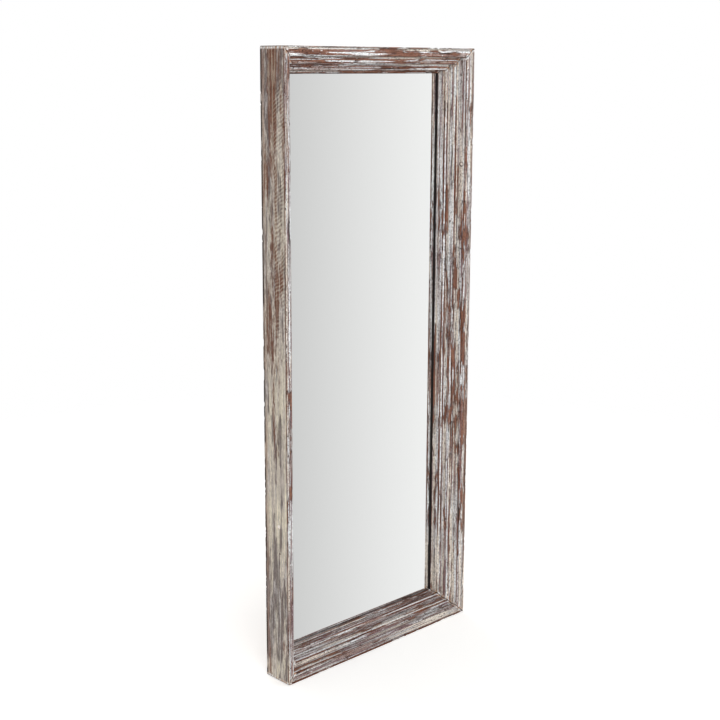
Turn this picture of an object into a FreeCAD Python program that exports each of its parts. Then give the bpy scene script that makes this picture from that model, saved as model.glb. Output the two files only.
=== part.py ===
import FreeCAD, Part
import math
import os
import re
import Sketcher

# Tall wooden wall mirror: a deep frame of nested, mitred mouldings around a plain glass.
# Driving sizes in millimetres. "Inward" runs from the outer edge of the frame
# towards the glass, "setback" and "drop" run from the front towards the wall.
driving_sizes = {
    # whole frame
    "frame_height": 1800,
    "frame_width": 750,
    "frame_depth": 100,
    # outer board, with a thin rim along its outer front edge
    "outer_board_width": 27,
    "rim_width": 3,
    "rim_slope_width": 2,
    "rim_drop": 5,
    "rim_round": 1.2,
    "outer_shoulder_round": 7,
    # middle and inner step mouldings
    "outer_step_drop": 30,
    "middle_step_width": 20.5,
    "middle_shoulder_round": 7,
    "middle_step_drop": 23,
    "inner_step_width": 17.5,
    "inner_shoulder_round": 8,
    # lip round the sight edge
    "lip_width": 9,
    "lip_thickness": 6,
    "lip_round": 1.5,
    # glass and what carries it
    "glass_thickness": 4,
    "glass_edge_gap": 2,
    "setting_block_length": 40,
    "setting_block_inset": 120,
    # back panel, battens and their pins
    "panel_thickness": 3,
    "panel_edge_gap": 1,
    "batten_width": 16,
    "batten_thickness": 7,
    "pin_radius": 0.8,
    "pin_bite": 12,
    "pin_end_inset": 60,
    "pin_pitch": 240,
    # flat corner braces and their screws
    "brace_inset": 8,
    "brace_leg_length": 110,
    "brace_leg_width": 22,
    "brace_thickness": 2,
    "brace_end_hole_inset": 11,
    "brace_hole_pitch": 42,
    "brace_screw_length": 25,
    # screws of braces and hangers alike
    "screw_radius": 2,
    "screw_head_radius": 3.8,
    "screw_head_height": 2.2,
    "screw_hole_clearance": 0.3,
    # strap hangers
    "hanger_drop": 300,
    "hanger_inset": 24,
    "strap_width": 14,
    "strap_length": 52,
    "strap_thickness": 1.5,
    "strap_screw_drop": 30,
    "strap_screw_pitch": 14,
    "strap_screw_length": 28,
    "eye_wall": 1.5,
    "eye_lift": 0.5,
    # hanging rings of bent wire
    "ring_wire_radius": 1.5,
    "ring_running_clearance": 0.05,
    "ring_inner_width": 20,
    "ring_corner_round": 3.5,
    "ring_leg_length": 10,
    # rubber bumpers on the rear
    "bumper_height": 8,
    "bumper_base_radius": 9,
    "bumper_top_radius": 7,
    "bumper_round": 1.5,
    "bumper_inset": 24,
    "bumper_end_inset": 160,
    # how far a cut runs past the solid it cuts
    "cut_overrun": 5,
}

# Sizes that follow from the driving ones
derived_sizes = {
    "middle_start": "outer_board_width",
    "inner_start": "middle_start + middle_step_width",
    "lip_start": "inner_start + inner_step_width",
    "lip_end": "lip_start + lip_width",
    "batten_end": "lip_start + batten_width",
    "middle_setback": "outer_step_drop",
    "inner_setback": "middle_setback + middle_step_drop",
    "batten_setback": "frame_depth - batten_thickness",
    "panel_setback": "batten_setback - panel_thickness",
    "glass_setback": "panel_setback - glass_thickness",
    "lip_setback": "glass_setback - lip_thickness",
    "front_face": "-(frame_depth + bumper_height) / 2",
    "back_face": "front_face + frame_depth",
    "brace_outer_hole": "brace_inset + brace_leg_length - brace_end_hole_inset",
    "brace_inner_hole": "brace_outer_hole - brace_hole_pitch",
    "brace_hole_line": "brace_inset + brace_leg_width / 2",
    "screw_hole_radius": "screw_radius + screw_hole_clearance",
    "eye_radius": "ring_wire_radius + ring_running_clearance",
    "eye_outer_radius": "eye_radius + eye_wall",
    "eye_height": "eye_lift + eye_outer_radius",
    "ring_half_width": "ring_inner_width / 2 + ring_wire_radius",
    "ring_bar_half": "ring_half_width - ring_corner_round",
    "pin_length": "batten_width + pin_bite",
}

# Each side of the frame: its length and where the middle of its outer edge lies
sides = {
    "bottom": ("frame_width", "0", "0"),
    "left": ("frame_height", "-frame_width / 2", "frame_height / 2"),
    "top": ("frame_width", "0", "frame_height"),
    "right": ("frame_height", "frame_width / 2", "frame_height / 2"),
}

# Each outer corner's place
corners = {
    "bottom_left": ("-frame_width / 2", "0"),
    "top_left": ("-frame_width / 2", "frame_height"),
    "top_right": ("frame_width / 2", "frame_height"),
    "bottom_right": ("frame_width / 2", "0"),
}

# Sides and corners are alike but for a turn about the depth axis
turn_degrees = {
    "bottom": 0,
    "left": 90,
    "top": 180,
    "right": 270,
    "bottom_left": 0,
    "top_left": 90,
    "top_right": 180,
    "bottom_right": 270,
}

doc = FreeCAD.newDocument("wooden_mirror")
sheet = doc.addObject("Spreadsheet::Sheet", "Sizes")


def fill_sheet():
    rows = [(name, str(value)) for name, value in driving_sizes.items()]
    rows += [(name, "=" + formula) for name, formula in derived_sizes.items()]
    for row, (name, content) in enumerate(rows, start=1):
        sheet.set("A%d" % row, name)
        sheet.set("B%d" % row, content)
        sheet.setAlias("B%d" % row, name)
        doc.recompute()


def cell(formula):
    """The formula with every size name pointing into the sheet."""
    return re.sub(r"[a-z][a-z_]*", lambda word: "Sizes." + word.group(0), formula)


def measure(formula):
    return float(sheet.evalExpression(cell(formula)))


def bind(thing, **formulas):
    for name, formula in formulas.items():
        thing.setExpression(name, cell(formula))


def place(body, turn, across, depth, up):
    """Turn a body about the depth axis and tie its place to the sheet."""
    body.Placement = FreeCAD.Placement(FreeCAD.Vector(), FreeCAD.Rotation(FreeCAD.Vector(0, 1, 0), turn))
    for axis, formula in (("x", across), ("y", depth), ("z", up)):
        body.setExpression("Placement.Base." + axis, cell(formula))


def new_body(label):
    body = doc.addObject("PartDesign::Body", label)
    body.Label = label
    return body


def new_sketch(body, name, role, offset=None):
    """A sketch on one of the body's own planes, moved off it along its normal if asked."""
    sketch = body.newObject("Sketcher::SketchObject", name)
    plane = next(feature for feature in body.Origin.OriginFeatures if feature.Role == role)
    sketch.AttachmentSupport = [(plane, "")]
    sketch.MapMode = "FlatFace"
    if offset:
        sketch.setExpression("AttachmentOffset.Base.z", cell(offset))
    return sketch


def fix_value(sketch, constraint, formula):
    number = sketch.addConstraint(constraint)
    sketch.setExpression("Constraints[%d]" % number, cell(formula))


def fix_point(sketch, geometry, point, across, along):
    for kind, formula in (("DistanceX", across), ("DistanceY", along)):
        fix_value(sketch, Sketcher.Constraint(kind, -1, 1, geometry, point, measure(formula)), formula)


def draw_loop(sketch, points):
    """A closed outline, drawn counterclockwise. Each point is (across, along), and a third
    entry, the centre, makes the stretch to the next point an arc."""
    first = None
    last = None
    for index, point in enumerate(points):
        following = points[(index + 1) % len(points)]
        start = FreeCAD.Vector(measure(point[0]), measure(point[1]), 0)
        end = FreeCAD.Vector(measure(following[0]), measure(following[1]), 0)
        if len(point) == 2:
            stretch = sketch.addGeometry(Part.LineSegment(start, end))
        else:
            centre = FreeCAD.Vector(measure(point[2][0]), measure(point[2][1]), 0)
            circle = Part.Circle(centre, FreeCAD.Vector(0, 0, 1), (start - centre).Length)
            turn = [math.atan2(at.y - centre.y, at.x - centre.x) for at in (start, end)]
            stretch = sketch.addGeometry(Part.ArcOfCircle(circle, turn[0], turn[1]))
            centre_fix = Sketcher.Constraint("DistanceY", -1, 1, stretch, 3, centre.y)
            fix_value(sketch, centre_fix, point[2][1])
        fix_point(sketch, stretch, 1, point[0], point[1])
        if last is None:
            first = stretch
        else:
            sketch.addConstraint(Sketcher.Constraint("Coincident", last, 2, stretch, 1))
        last = stretch
    sketch.addConstraint(Sketcher.Constraint("Coincident", last, 2, first, 1))


def draw_rectangle(sketch, left, right, low, high):
    draw_loop(sketch, [(left, low), (right, low), (right, high), (left, high)])


def draw_circles(sketch, radius, centres):
    for across, along in centres:
        middle = FreeCAD.Vector(measure(across), measure(along), 0)
        circle = sketch.addGeometry(Part.Circle(middle, FreeCAD.Vector(0, 0, 1), measure(radius)))
        fix_point(sketch, circle, 3, across, along)
        fix_value(sketch, Sketcher.Constraint("Radius", circle, measure(radius)), radius)


def add_pad(body, name, sketch, length, both_ways=False, backwards=False):
    pad = body.newObject("PartDesign::Pad", name)
    pad.Profile = sketch
    pad.SideType = "Symmetric" if both_ways else "One side"
    pad.Reversed = backwards
    bind(pad, Length=length)
    return pad


def cut_through(body, name, sketch):
    """Cut a sketch right through the body, both ways, and make sure that it took wood away."""
    doc.recompute()
    before = body.Shape.Volume
    pocket = body.newObject("PartDesign::Pocket", name)
    pocket.Profile = sketch
    pocket.Type = "ThroughAll"
    pocket.SideType = "Symmetric"
    doc.recompute()
    if not body.Shape.Volume < before:
        raise RuntimeError("%s cuts nothing from %s" % (name, body.Label))


def outer_board_section():
    """Section of the outer board as (setback, inward): rim, slope, face and rounded shoulder."""
    shoulder = "outer_board_width - outer_shoulder_round"
    shoulder_setback = "rim_drop + outer_shoulder_round"
    return [
        ("rim_round", "0"),
        ("frame_depth", "0"),
        ("frame_depth", "outer_board_width"),
        (shoulder_setback, "outer_board_width", (shoulder_setback, shoulder)),
        ("rim_drop", shoulder),
        ("rim_drop", "rim_width + rim_slope_width"),
        ("0", "rim_width"),
        ("0", "rim_round", ("rim_round", "rim_round")),
    ]


def step_section(start, end, setback, depth_end, rounding):
    """Section of a plain strip whose inner front edge is rounded over."""
    shoulder = "%s - %s" % (end, rounding)
    shoulder_setback = "%s + %s" % (setback, rounding)
    return [
        (setback, start),
        (depth_end, start),
        (depth_end, end),
        (shoulder_setback, end, (shoulder_setback, shoulder)),
        (setback, shoulder),
    ]


def make_strip(label, side, section, start, end):
    """One strip of one side: its section run along the side and mitred at both ends."""
    length, across, up = sides[side]
    body = new_body(label)
    profile = new_sketch(body, label + "_section", "YZ_Plane")
    draw_loop(profile, section)
    add_pad(body, label + "_run", profile, "%s - 2 * (%s)" % (length, start), both_ways=True)
    mitres = new_sketch(body, label + "_mitres", "XZ_Plane")
    low = "%s - cut_overrun" % start
    high = "%s + cut_overrun" % end
    far = "%s / 2 - (%s)" % (length, low)
    near = "%s / 2 - (%s)" % (length, high)
    draw_loop(mitres, [(far, low), (far, high), (near, high)])
    draw_loop(mitres, [("-(%s)" % far, low), ("-(%s)" % near, high), ("-(%s)" % far, high)])
    cut_through(body, label + "_mitre_cut", mitres)
    place(body, turn_degrees[side], across, "front_face", up)
    return body


def frame_layers():
    """Each nested layer of the frame: its section, and where it starts and ends inwards."""
    middle = step_section(
        "middle_start", "inner_start", "middle_setback", "frame_depth", "middle_shoulder_round")
    inner = step_section(
        "inner_start", "lip_start", "inner_setback", "frame_depth", "inner_shoulder_round")
    lip = step_section("lip_start", "lip_end", "lip_setback", "glass_setback", "lip_round")
    return {
        "outer_board": (outer_board_section(), "0", "outer_board_width"),
        "middle_step": (middle, "middle_start", "inner_start"),
        "inner_step": (inner, "inner_start", "lip_start"),
        "glass_lip": (lip, "lip_start", "lip_end"),
    }


def make_frame_strips():
    strips = []
    for side in sides:
        for layer, (section, start, end) in frame_layers().items():
            strips.append(make_strip("%s_%s" % (layer, side), side, section, start, end))
    return strips


def make_battens():
    battens = []
    for side in sides:
        section = [
            ("batten_setback", "lip_start"),
            ("frame_depth", "lip_start"),
            ("frame_depth", "batten_end"),
            ("batten_setback", "batten_end"),
        ]
        battens.append(make_strip("rear_batten_" + side, side, section, "lip_start", "batten_end"))
    return battens


def make_sheet(label, edge, setback, thickness):
    """A flat sheet in the rebate: the glass or the panel behind it."""
    body = new_body(label)
    outline = new_sketch(body, label + "_outline", "XZ_Plane")
    half = "frame_width / 2 - (%s)" % edge
    draw_rectangle(outline, "-(%s)" % half, half, edge, "frame_height - (%s)" % edge)
    add_pad(body, label + "_thickness", outline, thickness, backwards=True)
    place(body, 0, "0", "front_face + %s" % setback, "0")
    return body


def make_setting_blocks():
    """Two small blocks that carry the lower edge of the glass in the rebate."""
    body = new_body("setting_blocks")
    outline = new_sketch(body, "setting_blocks_outline", "XZ_Plane")
    far = "frame_width / 2 - lip_start - setting_block_inset"
    near = "%s - setting_block_length" % far
    draw_rectangle(outline, near, far, "lip_start", "lip_start + glass_edge_gap")
    draw_rectangle(outline, "-(%s)" % far, "-(%s)" % near, "lip_start", "lip_start + glass_edge_gap")
    add_pad(body, "setting_blocks_thickness", outline, "glass_thickness", backwards=True)
    place(body, 0, "0", "front_face + glass_setback", "0")
    return body


def make_batten_pins():
    """Pins driven through the battens, edge on, into the inner steps."""
    body = new_body("batten_pins")
    level = "frame_depth - batten_thickness / 2"
    for side, (length, _, _) in sides.items():
        upright = side in ("left", "right")
        span = "(%s - 2 * (lip_start + pin_end_inset))" % length
        spaces = max(1, int(measure(span) / measure("pin_pitch")))
        places = ["%s * (%d / %d - 1 / 2)" % (span, index, spaces) for index in range(spaces + 1)]
        half = "frame_width / 2" if upright else "frame_height / 2"
        inner_end = "%s - batten_end" % half
        sign = "-" if side in ("left", "bottom") else ""
        plane = "YZ_Plane" if upright else "XY_Plane"
        ends = new_sketch(body, "batten_pins_" + side, plane, sign + "(%s)" % inner_end)
        draw_circles(ends, "pin_radius", [(level, at) if upright else (at, level) for at in places])
        add_pad(body, "batten_pins_run_" + side, ends, "pin_length", backwards=bool(sign))
    place(body, 0, "0", "front_face", "frame_height / 2")
    return body


def brace_hole_places():
    """Holes of one brace, as distances from the two outer edges of its corner."""
    along = [("brace_outer_hole", "brace_hole_line"), ("brace_inner_hole", "brace_hole_line")]
    return along + [(second, first) for first, second in along]


def make_corner_braces():
    braces = []
    for corner, (across, up) in corners.items():
        label = "corner_brace_" + corner
        body = new_body(label)
        outline = new_sketch(body, label + "_outline", "XZ_Plane")
        end = "brace_inset + brace_leg_length"
        inside = "brace_inset + brace_leg_width"
        low = "brace_inset"
        draw_loop(outline, [
            (low, low),
            (end, low),
            (end, inside),
            (inside, inside),
            (inside, end),
            (low, end),
        ])
        draw_circles(outline, "screw_hole_radius", brace_hole_places())
        add_pad(body, label + "_thickness", outline, "brace_thickness", backwards=True)
        place(body, turn_degrees[corner], across, "back_face", up)
        braces.append(body)
    return braces


def make_screws(label, seat, length, places):
    """A set of round-headed screws whose heads sit on the same plane."""
    body = new_body(label)
    heads = new_sketch(body, label + "_heads", "XZ_Plane")
    draw_circles(heads, "screw_head_radius", places)
    add_pad(body, label + "_head_height", heads, "screw_head_height", backwards=True)
    shanks = new_sketch(body, label + "_shanks", "XZ_Plane")
    draw_circles(shanks, "screw_radius", places)
    add_pad(body, label + "_shank_length", shanks, length)
    place(body, 0, "0", "back_face + %s" % seat, "0")
    return body


def make_brace_screws():
    places = []
    for across, up in brace_hole_places():
        for sign in ("-", ""):
            for height in (up, "frame_height - (%s)" % up):
                places.append((sign + "(frame_width / 2 - %s)" % across, height))
    return make_screws("brace_screws", "brace_thickness", "brace_screw_length", places)


def make_strap_screws():
    places = []
    for sign in ("-", ""):
        for drop in ("strap_screw_drop", "strap_screw_drop + strap_screw_pitch"):
            across = sign + "(frame_width / 2 - hanger_inset)"
            places.append((across, "frame_height - hanger_drop - (%s)" % drop))
    return make_screws("strap_screws", "strap_thickness", "strap_screw_length", places)


def make_hanger_strap(label, across):
    """A flat strap with two screw holes, a round lower end and a rolled eye at its top."""
    body = new_body(label)
    outline = new_sketch(body, label + "_outline", "XZ_Plane")
    half = "strap_width / 2"
    bend = "strap_width / 2 - strap_length"
    draw_loop(outline, [
        ("-" + half, bend, ("0", bend)),
        (half, bend),
        (half, "0"),
        ("-" + half, "0"),
    ])
    draw_circles(outline, "screw_hole_radius", [
        ("0", "-strap_screw_drop"),
        ("0", "-(strap_screw_drop + strap_screw_pitch)"),
    ])
    add_pad(body, label + "_thickness", outline, "strap_thickness", backwards=True)
    roll = new_sketch(body, label + "_roll", "YZ_Plane")
    draw_circles(roll, "eye_outer_radius", [("eye_height", "0")])
    add_pad(body, label + "_roll_width", roll, "strap_width", both_ways=True)
    eye = new_sketch(body, label + "_eye", "YZ_Plane")
    draw_circles(eye, "eye_radius", [("eye_height", "0")])
    cut_through(body, label + "_eye_cut", eye)
    place(body, 0, across, "back_face", "frame_height - hanger_drop")
    return body


def make_hanger_ring(label, across):
    """A D-shaped ring of round wire, hanging from its straight bar."""
    body = new_body(label)
    path = new_sketch(body, label + "_path", "XZ_Plane")
    draw_loop(path, [
        ("0", "0"),
        ("-ring_bar_half", "0", ("-ring_bar_half", "-ring_corner_round")),
        ("-ring_half_width", "-ring_corner_round"),
        ("-ring_half_width", "-ring_leg_length", ("0", "-ring_leg_length")),
        ("ring_half_width", "-ring_leg_length"),
        ("ring_half_width", "-ring_corner_round", ("ring_bar_half", "-ring_corner_round")),
        ("ring_bar_half", "0"),
    ])
    wire = new_sketch(body, label + "_wire", "YZ_Plane")
    draw_circles(wire, "ring_wire_radius", [("0", "0")])
    doc.recompute()
    sweep = body.newObject("PartDesign::AdditivePipe", label + "_sweep")
    sweep.Profile = wire
    sweep.Spine = (path, [])
    place(body, 0, across, "back_face + eye_height", "frame_height - hanger_drop")
    return body


def make_hangers():
    hangers = []
    for side, sign in (("left", "-"), ("right", "")):
        across = sign + "(frame_width / 2 - hanger_inset)"
        hangers.append(make_hanger_strap("hanger_strap_" + side, across))
        hangers.append(make_hanger_ring("hanger_ring_" + side, across))
    return hangers


def make_bumpers():
    bumpers = []
    for corner in corners:
        label = "bumper_" + corner
        body = new_body(label)
        section = new_sketch(body, label + "_section", "XY_Plane")
        edge = "bumper_top_radius - bumper_round"
        edge_height = "bumper_height - bumper_round"
        draw_loop(section, [
            ("0", "0"),
            ("bumper_base_radius", "0"),
            ("bumper_top_radius", edge_height, (edge, edge_height)),
            (edge, "bumper_height"),
            ("0", "bumper_height"),
        ])
        turned = body.newObject("PartDesign::Revolution", label + "_turned")
        turned.Profile = section
        axis = next(feature for feature in body.Origin.OriginFeatures if feature.Role == "Y_Axis")
        turned.ReferenceAxis = (axis, [""])
        sign = "-" if corner.endswith("left") else ""
        up = "bumper_end_inset" if corner.startswith("bottom") else "frame_height - bumper_end_inset"
        place(body, 0, sign + "(frame_width / 2 - bumper_inset)", "back_face", up)
        bumpers.append(body)
    return bumpers


def check_document():
    for thing in doc.Objects:
        if "Invalid" in thing.State or "Error" in thing.State:
            raise RuntimeError("%s did not build: %s" % (thing.Label, thing.State))


def write_parts(bodies):
    os.makedirs("parts", exist_ok=True)
    for body in bodies:
        if body.Shape.isNull() or not body.Shape.isValid() or not body.Shape.Solids:
            raise RuntimeError("%s has no sound solid" % body.Label)
    for body in bodies:
        body.Shape.exportStep("parts/%s.step" % body.Label)
        box = body.Shape.BoundBox
        print("%-28s solids %2d  volume %10.0f  x %.1f %.1f  y %.1f %.1f  z %.1f %.1f" % (
            body.Label, len(body.Shape.Solids), body.Shape.Volume,
            box.XMin, box.XMax, box.YMin, box.YMax, box.ZMin, box.ZMax))


fill_sheet()
parts = make_frame_strips()
parts.append(make_sheet("mirror_glass", "lip_start + glass_edge_gap", "glass_setback", "glass_thickness"))
parts.append(make_setting_blocks())
parts.append(make_sheet("back_panel", "lip_start + panel_edge_gap", "panel_setback", "panel_thickness"))
parts += make_battens()
parts.append(make_batten_pins())
parts += make_corner_braces()
parts.append(make_brace_screws())
parts += make_hangers()
parts.append(make_strap_screws())
parts += make_bumpers()
doc.recompute()
check_document()
write_parts(parts)
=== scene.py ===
import math
import bpy
from functools import partial
from mathutils import Matrix, Vector
from statistics import NormalDist


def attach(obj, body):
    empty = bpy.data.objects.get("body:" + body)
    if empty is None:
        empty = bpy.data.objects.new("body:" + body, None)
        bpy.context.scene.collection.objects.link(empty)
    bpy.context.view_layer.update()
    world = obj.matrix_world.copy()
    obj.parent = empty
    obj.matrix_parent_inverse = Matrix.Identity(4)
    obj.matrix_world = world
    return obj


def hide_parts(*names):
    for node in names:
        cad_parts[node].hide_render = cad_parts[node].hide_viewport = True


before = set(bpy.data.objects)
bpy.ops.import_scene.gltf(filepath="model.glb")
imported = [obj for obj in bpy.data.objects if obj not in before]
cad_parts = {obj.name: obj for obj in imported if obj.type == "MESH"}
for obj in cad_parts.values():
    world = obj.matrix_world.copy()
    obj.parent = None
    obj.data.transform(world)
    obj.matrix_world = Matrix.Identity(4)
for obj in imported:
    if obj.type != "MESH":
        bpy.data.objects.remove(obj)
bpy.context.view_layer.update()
print("frame loaded,", len(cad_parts), "CAD nodes")

mm = 0.001

# settings that many nodes share
times = {"operation": "MULTIPLY"}
timesPlus = {"operation": "MULTIPLY_ADD"}
plus = {"operation": "ADD"}
minus = {"operation": "SUBTRACT"}
unsigned = {"operation": "ABSOLUTE"}
larger = {"operation": "MAXIMUM"}
eased = {"interpolation_type": "SMOOTHSTEP"}
colours = {"data_type": "RGBA"}
vectors = {"data_type": "FLOAT_VECTOR"}


def linear(hexColour):
    parts = [int(hexColour[i:i + 2], 16) / 255 for i in (1, 3, 5)]
    return tuple(c / 12.92 if c <= 0.04045 else ((c + 0.055) / 1.055) ** 2.4 for c in parts) + (1.0,)


# from sizes in mm to how often a pattern of that size comes in a metre
def perMetre(*sizes):
    return tuple(1 / mm / size for size in sizes)


# one node with its settings and links. Inputs come in their order, or in a dictionary that names those in
# use; a list links all it holds to one input. A kind goes without its family name
def addNode(tree, kind, *inputs, **settings):
    families = ("ShaderNode", "GeometryNode", "FunctionNode", "")
    node = tree.nodes.new(next(f + kind for f in families if hasattr(bpy.types, f + kind)))
    for name, value in settings.items():
        setattr(node, name, value)
    given = dict(zip(node.inputs, inputs))
    if inputs and isinstance(inputs[-1], dict):
        given = {next(s for s in node.inputs if s.enabled and s.name == key): value
                 for key, value in inputs[-1].items()}
    for socket, value in given.items():
        for part in value if isinstance(value, list) else [value]:
            if isinstance(part, bpy.types.Node):
                part = next(s for s in part.outputs if s.enabled)
            if isinstance(part, bpy.types.NodeSocket):
                tree.links.new(part, socket)
            else:
                socket.default_value = part
    return node


# a new material or tree comes with the function that adds nodes to it
def newMaterial(name):
    material = bpy.data.materials.new(name)
    material.use_nodes = True
    material.node_tree.nodes.clear()
    return material, partial(addNode, material.node_tree)


# lays coats over each other; each row is a colour and the shares whose product says how much of it holds
def layCoats(add, under, coats):
    for tone, held, *shares in coats:
        for share in shares:
            held = add("Math", held, share, **times)
        under = add("Mix", {"Factor": held, "A": under, "B": tone}, **colours)
    return under


def link(piece):
    bpy.context.scene.collection.objects.link(piece)
    return piece


def newTree(name, inputs):
    tree = bpy.data.node_groups.new(name, "GeometryNodeTree")
    tree.interface.new_socket("Geometry", in_out="INPUT", socket_type="NodeSocketGeometry")
    for socketName, socketType in inputs.items():
        tree.interface.new_socket(socketName, in_out="INPUT", socket_type="NodeSocket" + socketType)
    tree.interface.new_socket("Geometry", in_out="OUTPUT", socket_type="NodeSocketGeometry")
    return tree, partial(addNode, tree)


# every tree ends in a real mesh with its finish
def endTree(add, given, shape):
    whole = add("RealizeInstances", {"Geometry": shape})
    finished = add("SetMaterial", {"Geometry": whole, "Material": given["Finish"]})
    add("NodeGroupOutput", {"Geometry": finished})


# puts a tree on a piece, sets its inputs by identifier, and leaves the plain mesh that comes out
def growMesh(piece, tree, values):
    link(piece)
    modifier = piece.modifiers.new(tree.name, "NODES")
    modifier.node_group = tree
    identifiers = {s.name: s.identifier for s in tree.interface.items_tree if s.in_out == "INPUT"}
    for name, value in values.items():
        modifier[identifiers[name]] = value
    graph = bpy.context.evaluated_depsgraph_get()
    grown = bpy.data.meshes.new_from_object(
        piece.evaluated_get(graph), preserve_all_data_layers=True, depsgraph=graph)
    piece.modifiers.remove(modifier)
    piece.data = grown
    grown.name = piece.name


# what each point of a strip carries for its tree and its finish, up to three numbers to an attribute
channels = {
    "section": ("u", "v", "girth"), "skin": ("skinU", "skinV", "shown"),
    "marks": ("arris", "crest", "quirk"), "sides": ("flank", "back", "lipWall"), "rims": ("rim",),
    "wear": ("chip", "mitre"), "sawing": ("sawn", "acrossSaw"), "grain": ("along", "girth", "seed"),
}
sawMm = 11.0    # from one saw mark to the next; about 6 on the real one, coarser here so that it shows

# Mango wood, planed, stained brown and whitewashed, then rubbed back along the grain: thin broken lines
# of white, cream, grey and mauve over reddish wood, bare flakes, dark cracks and corners.
# Each layer of noise: along mm, across mm, detail. Their order sets where each noise is taken from
washLayers = {
    "fibre": (80, 1.6, 3), "figure": (420, 14, 3), "ground": (180, 8, 4), "grey": (260, 6.5, 3),
    "mauve": (220, 11, 3), "bare": (330, 5.6, 2), "white": (300, 6.0, 2), "cream": (380, 8, 2),
    "flake": (65, 9, 4), "cluster": (260, 60, 1), "crack": (160, 4.4, 2), "grit": (5.5, 3.2, 2),
    "rub": (60, 9, 3), "speck": (6.0, 3.0, 1), "soft": (300, 26, 4), "smear": (150, 20, 4),
    "mottle": (22, 6, 4), "drag": (70, 4.8, 3), "dash": (17, 3.3, 2), "tick": (13, 3.0, 2),
    "rubThrough": (160, 40, 3),
}
washColours = {
    "woodDark": "#422720", "woodMid": "#7d5344", "woodLight": "#a0735f", "rawWood": "#a98e70",
    "lilac": "#998e8c", "grey": "#c0bdbc", "mauve": "#887072", "white": "#ebedee", "cream": "#e1d7cb",
    "ochre": "#bd9678", "greige": "#c0b5ac", "flankCream": "#e9dfc8", "flankPurple": "#5f5354",
    "flankLilac": "#d5cfcc", "flankBrown": "#744935", "edgeBrown": "#653a26", "rimCream": "#f0e6d8",
    "backTan": "#98796a", "dirt": "#2a1d19", "soot": "#191110",
}
# shares of the surface on each side. crestBare says how far the crests are rubbed through, quirk how much
# more paint the corners between the steps hold, rim and rimBare how much cream or bare wood the outer rim
# shows, and soot how dark the wall beside the glass is painted, as painted shade of the gap at the
# glass. shade makes the whole side lighter or darker
washLooks = {
    "Left": {"ground": 0.75, "grey": 0.30, "mauve": 0.42, "bare": 0.18, "white": 0.27, "cream": 0.08,
             "flake": 0.06, "crack": 0.06, "dash": 0.05, "tick": 0.04, "crestBare": 0.7,
             "quirk": 0.06, "rim": 0.85, "rimBare": 0.0, "soot": 1.0, "shade": 0.97},
    "Top": {"ground": 0.12, "grey": 0.18, "mauve": 0.10, "bare": 0.27, "white": 0.31, "cream": 0.06,
            "flake": 0.10, "crack": 0.06, "dash": 0.04, "tick": 0.04, "crestBare": 0.4,
            "quirk": 0.20, "rim": 0.15, "rimBare": 0.0, "soot": 1.0, "shade": 1.14},
    "Right": {"ground": 0.90, "grey": 0.48, "mauve": 0.26, "bare": 0.22, "white": 0.34, "cream": 0.26,
              "flake": 0.13, "crack": 0.08, "dash": 0.05, "tick": 0.05, "crestBare": 0.9,
              "quirk": 0.12, "rim": 0.20, "rimBare": 0.50, "soot": 1.0, "shade": 1.13},
    "Bottom": {"ground": 0.85, "grey": 0.38, "mauve": 0.36, "bare": 0.10, "white": 0.17, "cream": 0.10,
               "flake": 0.03, "crack": 0.09, "dash": 0.05, "tick": 0.04, "crestBare": 0.9,
               "quirk": 0.06, "rim": 0.25, "rimBare": 1.0, "soot": 0.55, "shade": 0.97},
}
# how soft the edge of a layer is that is cut at its share of the surface
washEdges = {"grey": 0.03, "mauve": 0.03, "bare": 0.016, "white": 0.014, "cream": 0.016, "flake": 0.018,
             "crack": 0.02, "dash": 0.02, "tick": 0.02}
# where other layers start to show, and where they show in full
washRanges = {"fibre": (0.38, 0.66), "figure": (0.35, 0.65), "ground": (0.38, 0.62), "rub": (0.36, 0.47),
              "rubThrough": (0.42, 0.52), "speck": (0.64, 0.68), "grit": (0.34, 0.66),
              "mottle": (0.32, 0.68)}
# the same for what is drawn from a mark or once more from a layer, with how strongly it shows in full;
# girth and mitre are in metres, girth from the back edge and mitre from the joint
washBands = {
    "lodged": ("grit", 0.47, 0.57, 1),
    "paintRidge": ("crest", -0.45, -0.65, 0.9), "bareCrest": ("crest", 0.52, 0.68, 1),
    "creamRim": ("rim", 0.70, 0.95, 0.92), "bareRim": ("arris", 0.16, 0.40, 1),
    "brownArris": ("arris", 0.36, 0.52, 0.95), "quirkLine": ("quirk", 0.60, 0.88, 0.8),
    "backEdge": ("girth", 0.011, 0.004, 0.95), "tanBand": ("girth", 0.026, 0.008, 0.75),
    "mitreMend": ("mitre", 0.010, 0.005, 1), "mitreLine": ("mitre", 0.0022, 0.0008, 1),
}
washBuild = {
    "ragMm": (14, 6), "ragShiftMm": (7.0, 2.4), "layerStep": 5.3, "layerRough": 0.55,
    "spread": 0.105,    # how far a noise strays from its middle
    "clusters": 0.9, "handled": (0.25, 0.75, -0.42, -0.51),
    "quirkGain": {"white": 0.6, "grey": 0.6, "cream": 1, "bare": -1, "mauve": -1, "crack": -1},
    "flakeRim": (-0.075, -0.02, 0.8), "fibreLines": 0.45, "poreWash": 0.55, "dirt": 0.88,
    "gritShade": (0.74, 1.20), "calmCream": 0.75, "rough": (0.74, 0.62),
    "relief": {"fibre": -0.3, "white": 0.5, "cream": 0.3, "grey": 0.3, "bare": -0.4, "flake": -0.7,
               "crack": -0.5, "dash": 0.3, "tick": -0.4, "grit": 0.25},
    "reliefMm": 0.6, "bump": 0.8, "ior": 1.5, "gloss": 0.3,
}
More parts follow.
